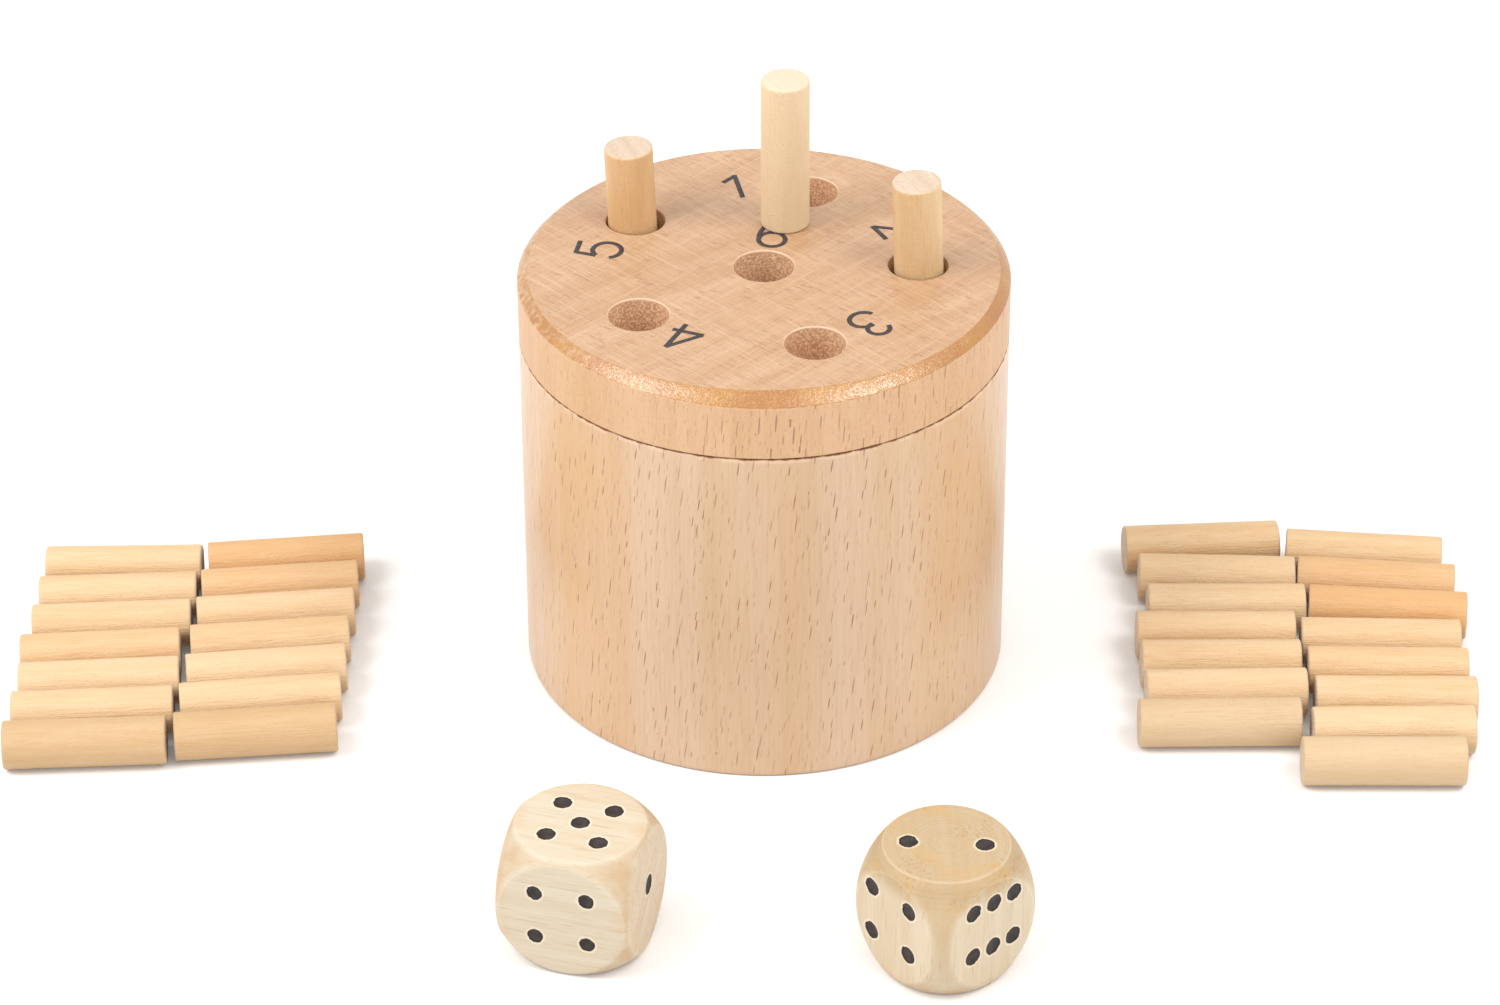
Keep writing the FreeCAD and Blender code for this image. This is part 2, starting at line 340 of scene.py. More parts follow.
off_seam = from_seam(tree, place)
# Painted highlight: a pale line just below the seam, where the box's rim edge catches the light.
lip_highlight = reckon(tree, "MULTIPLY", between(tree, off_seam, 1.0, 0.7), between(tree, fine["Streak"], 0.2, 0.6))
colour = stain(tree, colour, lip_highlight, 0.3, tone(222, 192, 160))
# Painted shade: the seam's groove darkened in the box's colour, with its sheen taken away.
seam = seam_shade_mask(tree, place, off_seam)
colour = blend_colour(tree, seam, colour, seam_shade_tone)
shader.inputs["Coat Weight"].default_value = 0.15
shader.inputs["Coat Roughness"].default_value = 0.15
polish = reckon(tree, "MULTIPLY_ADD", fine["Line"], 0.1, 0.32)
roughness = reckon(tree, "MAXIMUM", polish, reckon(tree, "MULTIPLY", seam, 0.9))
height = reckon(tree, "SUBTRACT", reckon(tree, "MULTIPLY", fine["Line"], 0.3), flecks)
finish_wood(tree, shader, colour, roughness, height, grain_relief)

box_profile = rounded([(0, 0), (box_radius, 0), (box_radius, box_height), (bore_radius, box_height),
                       (bore_radius, box_floor), (0, box_floor)],
                      [base_break, seam_break, seam_break, bore_round])
box_angles = np.linspace(0, 2 * np.pi, box_columns + 1)
from_front = np.degrees(np.arctan2(np.cos(box_angles), -np.sin(box_angles)))
warm = np.exp(-((np.abs(from_front) - warm_band) / warm_spread) ** 2)
outside = (np.arange(len(box_profile)) < len(box_profile) // 2)[:, None]
box = make_piece("box_turned", [(turned(box_profile, box_angles), {"end": levelness(box_profile),
                                                                   "warm": warm * outside})], box_wood)
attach(box, "box")
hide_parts("box")

# Lid: a disc from the same bar with a plug turned underneath that drops into the box.
# Its face is bare sawn and sanded end grain, its edge is bevelled by hand and burnished, and
# it is drilled with five blind holes in a ring and one hole right through the middle.
lid_top = 82.3
plug_radius = 37.1
plug_bottom = 63.4
hole_radius = 5.5
hole_ring_radius = 28.1
first_hole_angle = 72.7
hole_floors = {1: 68.7, 5: 67.9, 4: 68.3, 3: 69.1, 2: 69.9}    # heights, counter-clockwise from hole 1
hole_strays = {5: 0.9}        # hole drilled outside the ring, by this much
hole_break = 0.35
hole_foot = 0.3
hole_mouth = 0.8              # depth over which the face turns into drilled wall
plug_break = 0.8
shoulder_round = 0.25
side_split = box_height + 5   # height where the bevel's grid takes over from the side
bevel_crown = 1.8             # 1 would be a quarter round, 2 a flat bevel
burnish_fade = 12.0           # degrees of the bevel's sweep over which its burnish fades in and out
flat_middle = 14.0            # radius of the part of the face round the middle hole
columns_per_hole = 60
side_steps = 18
cell_rows = 9

saw_marks, entry, leave = new_group(
    "saw marks", {"Place": "V", "Turn": "F", "Spacing": "F", "Length": "F"}, ["Mark", "Furrow"])
laid = shader_node(saw_marks, "VectorRotate", {"Vector": entry["Place"], "Angle": entry["Turn"]},
                   rotation_type="Z_AXIS").outputs[0]
stretch = shader_node(saw_marks, "CombineXYZ",
                      {0: entry["Spacing"], 1: entry["Length"], 2: 1.0}).outputs[0]
drawn_out = move(saw_marks, "DIVIDE", laid, stretch)
lines = noise(saw_marks, drawn_out, 1.0, 2.0, 0.7)
saw_marks.links.new(between(saw_marks, lines, 0.52, 0.68), leave["Mark"])
saw_marks.links.new(between(saw_marks, lines, 0.46, 0.34), leave["Furrow"])

lid_wood, tree, shader = new_material("burnished beech disc")
place = place_in_mm(tree)
broad = use_group(tree, fibre_figure, {"Place": place, "Across": 9.0, "Along": 90.0})
fine = use_group(tree, fibre_figure, {"Place": place, "Across": 3.2, "Along": 60.0})
large_flecks = use_group(tree, ray_flecks, {"Place": place, "Spacing": 3.0, "Length": 4.6, "Width": 0.22,
                                            "Lean": 0.06})["Fleck"]
crowded = between(tree, coordinates(tree, place)[0], -25.0, 2.0)
large_flecks = reckon(tree, "MULTIPLY", large_flecks, reckon(tree, "MULTIPLY_ADD", crowded, 0.75, 0.25))
small_flecks = use_group(tree, ray_flecks, {"Place": place, "Spacing": 1.6, "Length": 2.0, "Width": 0.18,
                                            "Lean": 0.1})["Fleck"]
flecks = reckon(tree, "MAXIMUM", large_flecks, reckon(tree, "MULTIPLY", small_flecks, 0.4))
side = blend_colour(tree, broad["Streak"], tone(197, 156, 114), tone(192, 149, 104))
side = stain(tree, side, fine["Line"], 0.32, tone(174, 128, 84))
side = stain(tree, side, fine["Streak"], 0.3, tone(204, 168, 130))
side = stain(tree, side, flecks, 0.85, tone(128, 80, 46))
rings = use_group(tree, end_grain, {"Place": place, "Turn": bar_turn, "Ring": 7.0})
face = blend_colour(tree, rings["Band"], tone(184, 148, 113), tone(174, 134, 96))
sawn = use_group(tree, saw_marks, {"Place": place, "Turn": np.radians(-44.0), "Spacing": 0.4,
                                   "Length": 14.0})
cross_sawn = use_group(tree, saw_marks, {"Place": place, "Turn": np.radians(44.0), "Spacing": 0.43,
                                         "Length": 16.0})
torn = use_group(tree, saw_marks, {"Place": place, "Turn": np.radians(-56.0), "Spacing": 0.42,
                                   "Length": 2.6})["Mark"]
torn = reckon(tree, "MULTIPLY", torn, between(tree, noise(tree, place, 0.25, 2.0), 0.3, 0.6))
face = stain(tree, face, rings["Pore"], 0.3, tone(164, 120, 88))
face = stain(tree, face, torn, 0.65, tone(144, 96, 66))
scratch = reckon(tree, "MAXIMUM", sawn["Mark"], reckon(tree, "MULTIPLY", cross_sawn["Mark"], 0.8))
furrow = reckon(tree, "MAXIMUM", sawn["Furrow"], reckon(tree, "MULTIPLY", cross_sawn["Furrow"], 0.8))
face = stain(tree, face, furrow, 0.32, tone(154, 108, 72))
face = stain(tree, face, scratch, 0.26, tone(212, 182, 150))
leaning = shader_node(tree, "VectorRotate", {"Vector": place, "Axis": (0.0, 1.0, 0.0),
                                             "Angle": 0.6}).outputs[0]
hatch = use_group(tree, fibre_figure, {"Place": leaning, "Across": 3.0, "Along": 22.0})
edge = blend_colour(tree, broad["Streak"], tone(169, 118, 49), tone(158, 102, 39))
edge = stain(tree, edge, hatch["Dash"], 0.5, tone(146, 88, 42))
grainy = noise(tree, place, 2.2, 3.0, 0.7)
drilled = blend_colour(tree, between(tree, grainy, 0.42, 0.62), tone(190, 143, 107), tone(234, 200, 163))
burnished = spread_value(tree, "edge")
depth = spread_value(tree, "hole")
colour = blend_colour(tree, between(tree, spread_value(tree, "end"), 0.2, 0.95), side, face)
ragged = reckon(tree, "MULTIPLY_ADD", noise(tree, place, 0.8, 3.0), 1.2, -0.6)
colour = blend_colour(tree, between(tree, reckon(tree, "ADD", burnished, ragged), 0.3, 0.7), colour, edge)
colour = blend_colour(tree, between(tree, depth, 0.35, 0.8), colour, drilled)
# Painted highlight: a thin pale line on the rounded mouth of each hole.
mouth_highlight = reckon(tree, "MULTIPLY", between(tree, depth, 0.0, 0.1), between(tree, depth, 0.6, 0.3))
colour = stain(tree, colour, mouth_highlight, 0.6, tone(222, 192, 164))
# Painted shade: the same dark groove at the seam, on the lid's shoulder.
seam = seam_shade_mask(tree, place, from_seam(tree, place))
colour = blend_colour(tree, seam, colour, seam_shade_tone)
rough_face = reckon(tree, "MULTIPLY_ADD", rings["Pore"], 0.12, 0.46)
polish = reckon(tree, "MULTIPLY_ADD", burnished, -0.3, rough_face)
roughness = reckon(tree, "MAXIMUM", polish, reckon(tree, "MULTIPLY", seam, 0.9))
shader.inputs["IOR"].default_value = 1.8
pitted = reckon(tree, "MAXIMUM", flecks, reckon(tree, "MAXIMUM", rings["Pore"], hatch["Dash"]))
rippled = reckon(tree, "MULTIPLY", noise(tree, place, 0.9, 2.0, 0.6), burnished)
rippled = reckon(tree, "MULTIPLY", rippled, 3.0)
height = reckon(tree, "SUBTRACT", reckon(tree, "MULTIPLY_ADD", scratch, 0.4, rippled), pitted)
finish_wood(tree, shader, colour, roughness, height, grain_relief)

ring_holes = len(hole_floors)
lid_columns = ring_holes * columns_per_hole
lid_angles = np.radians(first_hole_angle - 180 / ring_holes) + np.linspace(0, 2 * np.pi, lid_columns + 1)
below = rounded([(flat_middle, lid_top), (hole_radius, lid_top), (hole_radius, plug_bottom),
                 (plug_radius, plug_bottom), (plug_radius, box_height), (box_radius, box_height),
                 (box_radius, side_split)],
                [hole_break, hole_foot, plug_break, shoulder_round, seam_break])
in_hole = (below[:, :1] < hole_radius + 0.2) * np.clip((lid_top - below[:, 1:]) / hole_mouth, 0, 1)
lid_surfaces = [(turned(below, lid_angles), {"end": levelness(below), "edge": 0 * in_hole,
                                             "hole": in_hole})]


def crowned_bevel(angles, width, drop, worked, hold=0.3, steps=22):
    """Bevel between the side and the face, a little crowned, whose size changes round the lid: radius
    less width x (1 - cos ** crown), top less drop x (1 - sin ** crown), with a hold row before it and
    after it. Worked is how strongly each column is burnished."""
    sweep = np.linspace(0, np.pi / 2, steps)[:, None]
    radius = box_radius - width * (1 - np.cos(sweep) ** bevel_crown)
    height = lid_top - drop * (1 - np.sin(sweep) ** bevel_crown)
    radius = np.concatenate([radius[:1], radius[:1], radius, radius[-1:] - hold])
    low = np.full_like(height[:1], side_split)
    height = np.concatenate([low, height[:1] - hold, height, height[-1:]])
    grid = np.stack([radius * np.cos(angles), radius * np.sin(angles), height], axis=-1)
    share = np.concatenate([[[0.0], [0.0]], np.sin(sweep), [[1.0]]])
    swept = np.degrees(sweep)
    burnish = np.clip(swept / burnish_fade, 0, 1) * np.clip((90 - swept) / burnish_fade, 0, 1)
    gloss = np.concatenate([[[0.0], [0.0]], burnish, [[0.0]]]) * worked
    return grid, {"end": share, "edge": gloss, "hole": 0 * share}


frontward = np.clip(-np.sin(lid_angles), 0, 1)
bevel_width = 2.0 + 0.75 * frontward ** 6
bevel_drop = 1.85 + 0.45 * frontward ** 10
hand_burnish = 0.66 - 0.2 * np.sin(lid_angles) + 0.18 * np.cos(lid_angles)
edge_grid, edge_values = crowned_bevel(lid_angles, bevel_width, bevel_drop, hand_burnish)
lid_surfaces.append((edge_grid, edge_values))
outer_row = edge_grid[-1]
inner_row = lid_surfaces[0][0][0]


def drilled_cell(sector, reach, floor):
    """One sector of the face with its hole. The sector's outline runs round its outer arc, in along
    one side, back along its inner arc and out along the other side; the rim has a point in the same
    direction for each outline point, and straight lines join the two."""
    first = sector * columns_per_hole
    last = first + columns_per_hole
    step = np.linspace(0, 1, side_steps + 1)[:-1, None]
    way_in = outer_row[last] + (inner_row[last] - outer_row[last]) * step
    way_out = inner_row[first] + (outer_row[first] - inner_row[first]) * step
    outline = np.concatenate([outer_row[first:last], way_in, inner_row[last:first:-1], way_out])
    outline = np.concatenate([outline, outline[:1]])
    angle = np.radians(first_hole_angle + sector * 360 / ring_holes)
    centre = reach * np.array([np.cos(angle), np.sin(angle)])
    seen = np.unwrap(np.arctan2(outline[:, 1] - centre[1], outline[:, 0] - centre[0]))
    profile = rounded([(hole_radius + 3, lid_top), (hole_radius, lid_top), (hole_radius, floor),
                       (0, floor)], [hole_break, hole_foot])[1:]
    wall = turned(profile, seen, centre)
    spread = np.linspace(0, 1, cell_rows)[:, None, None] ** 1.5
    flat = outline + (wall[0] - outline) * (1 - spread)
    depth = np.clip((lid_top - profile[:, 1:]) / hole_mouth, 0, 1)
    level = np.ones((len(spread), 1))
    return [(flat[::-1], {"end": level, "edge": 0 * level, "hole": 0 * level}),
            (wall, {"end": levelness(profile), "edge": 0 * depth, "hole": depth})]


for sector, (number, floor) in enumerate(hole_floors.items()):
    lid_surfaces += drilled_cell(sector, hole_ring_radius + hole_strays.get(number, 0.0), floor)
lid = make_piece("lid_turned", lid_surfaces, lid_wood)
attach(lid, "lid")
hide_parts("lid")

# Numbers: drawn on the face by hand with a charcoal-coloured paint pen, each read from its hole.
# The paint stands up by a hair and has sunk a little into the end grain.
pen_width = 0.9
paint_height = 0.04
stroke_lift = 0.008           # each further stroke of a number lies this much higher
paint_relief = 0.00002        # metres

number_paint, tree, shader = new_material("charcoal paint")
place = place_in_mm(tree)
worn = between(tree, noise(tree, place, 1.4, 3.0, 0.6), 0.35, 0.75)
colour = blend_colour(tree, worn, tone(42, 37, 38), tone(68, 58, 57))
roughness = reckon(tree, "MULTIPLY_ADD", worn, 0.2, 0.55)
finish_wood(tree, shader, colour, roughness, worn, paint_relief)


def bow(centre, radii, start, end, points=28):
    """Stroke along an ellipse from one angle to another, in degrees."""
    angle = np.radians(np.linspace(start, end, points))
    return np.stack([centre[0] + radii[0] * np.cos(angle), centre[1] + radii[1] * np.sin(angle)], axis=-1)


def pen_stroke(path, place, turn, lift):
    """Flat pen line: the path turned and set in its place, with the pen's width to both sides of it
    along its normal and a thin square section, closed by pulling its ends to their middle."""
    path = np.array(path, float)
    along = np.gradient(path, axis=0)
    along /= np.linalg.norm(along, axis=1, keepdims=True)
    normal = np.stack([-along[:, 1], along[:, 0]], axis=-1)
    section = np.array([(-1, 0), (-1, 1), (1, 1), (1, 0), (-1, 0)])
    flat = path[:, None] + normal[:, None] * section[None, :, :1] * pen_width / 2
    height = np.broadcast_to(section[:, 1] * lift, flat.shape[:2])
    c, s = np.cos(np.radians(turn)), np.sin(np.radians(turn))
    x = place[0] + c * flat[..., 0] - s * flat[..., 1]
    y = place[1] + s * flat[..., 0] + c * flat[..., 1]
    tube = np.stack([x, y, lid_top + height], axis=-1)
    ends = [np.repeat(tube[row, :4].mean(axis=0)[None, None], len(section), axis=1) for row in (0, -1)]
    return np.concatenate([ends[0], tube, ends[1]]), {}


numbers = {
    1: ((-5.3, 28.8), 9.0, [[(-2.05, 1.7), (-0.8, 2.7), (0.45, 3.7)],
                            [(0.5, 4.15), (0.65, 0.0), (0.8, -4.25)]]),
    2: ((24.9, 13.6), -61.5, [np.concatenate([bow((0, 2.05), (2.1, 2.1), 170, -20),
                                              [(0.4, -0.7), (-2.4, -4.0)]]),
                              [(-2.7, -4.1), (0.0, -4.15), (2.65, -4.2)]]),
    3: ((19.0, -20.25), -137.0, [bow((0.05, 2.15), (2.05, 1.95), 170, -100),
                                 bow((0.0, -1.85), (2.6, 2.4), 95, -170)]),
    4: ((-14.3, -24.25), 149.0, [[(1.0, 4.75), (-0.85, 1.4), (-2.7, -1.9)],
                                 [(-2.9, -1.9), (0.05, -1.45), (3.0, -1.0)],
                                 [(0.95, 4.75), (1.35, 0.6), (1.75, -3.6)]]),
    5: ((-30.2, 6.0), 79.0, [[(2.4, 3.95), (0.2, 3.92), (-2.0, 3.9)],
                             [(-1.7, 3.9), (-1.95, 2.0), (-2.25, 0.1)],
                             bow((0.0, -1.55), (2.65, 2.65), 140, -160)]),
    6: ((1.4, 10.6), 0.0, [bow((0.1, -1.3), (2.45, 2.5), -180, 180, 48),
                           [(-2.33, -1.3), (-2.25, 0.2), (-1.9, 1.7), (-1.35, 3.1), (-0.5, 4.4)]]),
}
for number, (number_place, number_turn, strokes) in numbers.items():
    drawn = [pen_stroke(path, number_place, number_turn, paint_height + stroke_lift * layer)
             for layer, path in enumerate(strokes)]
    painted = make_piece(f"number_{number}", drawn, number_paint)
    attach(painted, "lid")

# Sticks: 30 mm lengths sawn from 9 mm hardwood dowel and left bare, with slightly fuzzy sawn ends.
# Two stand in holes, one stands on the lid, and the rest lie side by side in two columns on each side.
stick_radius = 4.5
stick_length = 30.0
stick_break = 0.4
stick_columns = 48
end_ring = 2.2                # radius of the ring of points on each sawn end
worn_length = 1.2
rim_wear = 0.012              # share of the radius
end_wear = 0.06
usual_tint = (0.02, 0.04)     # how orange and how pale, for each unit of a stick's own draw
grain_spread = 400            # how far apart in the wood the sticks may come from
sawn_relief = 0.00004         # metres
grain_draw = np.random.default_rng(20)

stick_wood, tree, shader = new_material("bare dowel")
place = shader_node(tree, "Attribute", attribute_name="dowel").outputs["Vector"]
broad = use_group(tree, fibre_figure, {"Place": place, "Across": 3.6, "Along": 120.0})
fine = use_group(tree, fibre_figure, {"Place": place, "Across": 2.0, "Along": 40.0})
long_grain = blend_colour(tree, broad["Streak"], tone(206, 176, 136), tone(199, 163, 118))
long_grain = stain(tree, long_grain, fine["Line"], 0.32, tone(190, 144, 90))
long_grain = stain(tree, long_grain, fine["Dash"], 0.3, tone(176, 124, 70))
flame = use_group(tree, fibre_figure, {"Place": place, "Across": 2.4, "Along": 16.0})
long_grain = stain(tree, long_grain, flame["Streak"], 0.25, tone(214, 188, 150))
rings = use_group(tree, end_grain, {"Place": place, "Turn": 0.5, "Ring": 1.6})
sawn = blend_colour(tree, rings["Band"], tone(198, 179, 160), tone(190, 168, 143))
sawn = stain(tree, sawn, rings["Pore"], 0.35, tone(172, 140, 106))
colour = blend_colour(tree, between(tree, spread_value(tree, "end"), 0.3, 0.9), long_grain, sawn)
lengthways = reckon(tree, "SUBTRACT", 1.0, between(tree, spread_value(tree, "end"), 0.3, 0.9))
orange = reckon(tree, "MULTIPLY", spread_value(tree, "orange"), lengthways)
colour = blend_colour(tree, orange, colour, tone(200, 142, 80))
colour = blend_colour(tree, spread_value(tree, "pale"), colour, tone(222, 204, 174))
colour = blend_colour(tree, spread_value(tree, "dark"), colour, tone(168, 138, 100))
roughness = reckon(tree, "MULTIPLY_ADD", fine["Line"], 0.15, 0.5)
height = reckon(tree, "ADD", fine["Line"], rings["Pore"])
finish_wood(tree, shader, colour, roughness, height, sawn_relief)


def dowel(node, draw):
    """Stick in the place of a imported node: its line is the longest direction of the node's points,
    its surface the turned profile with ends worn a little out of true by a wave round the rim."""
    points = np.empty(len(node.data.vertices) * 3)
    node.data.vertices.foreach_get("co", points)
    points = np.unique(np.round(points.reshape(-1, 3) / mm, 3), axis=0)
    half = stick_length / 2
    middle = points.mean(axis=0)
    axis = np.linalg.svd(points - middle, full_matrices=False)[2][0]
    axis *= np.sign(axis[np.abs(axis).argmax()])
    middle = middle + axis * ((points - middle) @ axis).min() + axis * half
    beside = np.array([0.0, 0.0, 1.0]) if abs(axis[2]) < 0.9 else np.array([0.0, -1.0, 0.0])
    third = np.cross(axis, beside)
    third /= np.linalg.norm(third)
    beside = np.cross(third, axis)
    profile = rounded([(0, -half), (stick_radius, -half), (stick_radius, half), (0, half)],
                      [stick_break, stick_break])
    profile = np.insert(profile, [1, len(profile) - 1], [(end_ring, -half), (end_ring, half)], axis=0)
    angles = np.linspace(0, 2 * np.pi, stick_columns + 1)
    grid = turned(profile, angles)
    wave = 0.5 + 0.3 * np.sin(2 * angles + draw[0]) + 0.2 * np.sin(5 * angles + draw[1])
    at_end = np.clip(np.abs(profile[:, 1:]) - (half - worn_length), 0, worn_length) / worn_length
    rim = at_end ** 2 * profile[:, :1] / stick_radius
    grid[..., :2] *= 1 - (rim_wear * rim * wave)[..., None]
    grid[..., 2] -= np.sign(profile[:, 1:]) * end_wear * rim * wave
    local = grid + draw[2:5] * grain_spread
    placed = middle + grid @ np.stack([third, beside, axis])
    return placed, {"end": levelness(profile), "dowel": local}


stick_nodes = [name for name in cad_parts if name.startswith("stick_")]
stick_tints = {               # how orange, how pale and how dark, for the sticks that stand out
    "stick_left_inner_1": (0.5, 0.0, 0.0),
    "stick_left_inner_2": (0.2, 0.0, 0.0),
    "stick_left_inner_7": (0.1, 0.0, 0.4),
    "stick_left_outer_7": (0.05, 0.0, 0.4),
    "stick_right_outer_2": (0.25, 0.0, 0.0),
    "stick_right_outer_3": (0.5, 0.0, 0.0),
    "stick_right_inner_7": (0.0, 0.25, 0.35),
    "stick_right_outer_8": (0.0, 0.3, 0.35),
    "stick_in_hole_5": (0.22, 0.0, 0.0),
    "stick_in_hole_2": (0.0, 0.05, 0.0),
    "stick_on_lid": (0.1, 0.5, 0.0),
}
for name in sorted(stick_nodes):
    draw = grain_draw.uniform(0, 2 * np.pi, 7)
    grid, values = dowel(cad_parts[name], draw)
    tint = stick_tints.get(name, (usual_tint[0] * draw[5], usual_tint[1] * draw[6], 0.0))
    for key, share in zip(("orange", "pale", "dark"), tint):
        values[key] = np.full(grid.shape[:2], share)
    stick = make_piece(name + "_dowel", [(grid, values)], stick_wood)
    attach(stick, name)
    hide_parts(name)

# Dice: hardwood cubes turned down to a barrel that leaves round flats, so the corners are ball-shaped.
# The pips are shallow drilled dishes filled with dark paint. They lie loose on the table.
die_half = 12.25
pip_radius = 1.6
pip_depth = 0.4
paint_overrun = 0.08          # the paint runs a little over the edge of the dish
pip_spread = 4.7
die_columns = 160
widest_flat = 0.97            # share of the way to a face's own border that its flat may reach
flat_soft = 0.5               # the edge of a flat is softened over this difference of distances
die_middle_y = {"die_left": -91.1, "die_right": -97.3}
die_middle_x = {"die_left": -32.3, "die_right": 31.1}
die_turn = {"die_left": -16.0, "die_right": 40.5}
die_girth = {"die_left": 33.6, "die_right": 31.2}
die_top = {"die_left": 23.0, "die_right": 22.3}
die_counts = {
    "die_left": {"+z": 5, "-z": 2, "-y": 4, "+y": 3, "+x": 1, "-x": 6},
    "die_right": {"+z": 2, "-z": 5, "-y": 6, "+y": 1, "+x": 3, "-x": 4},
}
# How far the pips of a face sit above its middle and beside it, and how much smaller they are.
pip_lifts = {"die_left": {"-y": 0.3, "+x": 1.3}, "die_right": {"-x": 1.0, "-y": 1.7}}
pip_shifts = {"die_left": {}, "die_right": {"-x": -0.8}}
pip_trims = {"die_left": {"-y": 0.25, "+x": -0.2}, "die_right": {}}
pip_corners = [(-1, 1), (1, -1), (-1, -1), (1, 1)]
pip_places = {
    1: [(0, 0)],
    2: pip_corners[:2],
    3: pip_corners[:2] + [(0, 0)],
    4: pip_corners,
    5: pip_corners + [(0, 0)],
    6: pip_corners + [(0, 1), (0, -1)],
}
face_across_up = {
    "+z": ((1, 0, 0), (0, 1, 0)),
    "-z": ((1, 0, 0), (0, -1, 0)),
    "-y": ((1, 0, 0), (0, 0, 1)),
    "+y": ((-1, 0, 0), (0, 0, 1)),
    "+x": ((0, 1, 0), (0, 0, 1)),
    "-x": ((0, -1, 0), (0, 0, 1)),
}


def die_face(across, up, count, lift, shift, dish_radius, girth, top, middle, turn):
    """One sixth of a die on rings round the middle of a flat. A ring point's direction is the face's
    normal plus reach times (cos, sin); its distance is the smaller of the cube's and the barrel's,
    joined by a smooth minimum. Rings crowd at the edge of the flat, and pips are pressed in."""
    across, up = np.array(across, float), np.array(up, float)
    normal = np.cross(across, up)
    swell = girth / 2 - top / 2
    barrel_radius = (swell ** 2 + die_half ** 2) / (2 * swell)
    barrel_offset = girth / 2 - barrel_radius
    angle = np.linspace(0, 2 * np.pi, die_columns + 1)
    sideways = np.cos(angle)[:, None] * across + np.sin(angle)[:, None] * up

    def distances(reach):
        way = normal + reach[..., None] * sideways
        length = np.linalg.norm(way, axis=-1)
        level = np.hypot(way[..., 0], way[..., 1]) / length
        barrel = level * barrel_offset + np.sqrt(
            (level * barrel_offset) ** 2 + barrel_radius ** 2 - barrel_offset ** 2)
        return way / length[..., None], die_half * length, barrel

    limit = 1 / np.maximum(np.abs(np.cos(angle)), np.abs(np.sin(angle)))
    low, high = 0 * limit, limit
    for halving in range(40):
        guess = (low + high) / 2
        way, cube, barrel = distances(guess)
        low = np.where(cube < barrel, guess, low)
        high = np.where(cube < barrel, high, guess)
    flat_edge = np.minimum(low, widest_flat * limit)[None]
    near = np.array([0.93, 0.955, 0.97, 0.98, 0.99])
    inner = np.concatenate([np.linspace(0, 0.9, 40), near])[:, None]
    outer = (np.linspace(0, 1, 16) ** 1.5)[:, None]
    reach = np.concatenate([inner * flat_edge, flat_edge + outer * (limit - flat_edge)])
    way, cube, barrel = distances(reach)
    overlap = np.clip(flat_soft - np.abs(cube - barrel), 0, None) / flat_soft
    points = way * (np.minimum(cube, barrel) - overlap ** 2 * flat_soft / 4)[..., None]
    on_face = np.stack([points @ across - shift, points @ up - lift], axis=-1)
    places = np.array(pip_places[count]) * pip_spread
    to_pip = np.linalg.norm(on_face[:, :, None] - places, axis=-1).min(axis=2)
    dish = np.clip(1 - (to_pip / dish_radius) ** 2, 0, 1) ** 0.75
    points = points - normal * (pip_depth * dish)[..., None]
    c, s = np.cos(np.radians(turn)), np.sin(np.radians(turn))
    turned_to = np.array([(c, s, 0), (-s, c, 0), (0, 0, 1)])
    values = {"block": points, "pip": to_pip - dish_radius - paint_overrun,
              "past_flat": (reach - flat_edge) * die_half}
    return middle + points @ turned_to, values


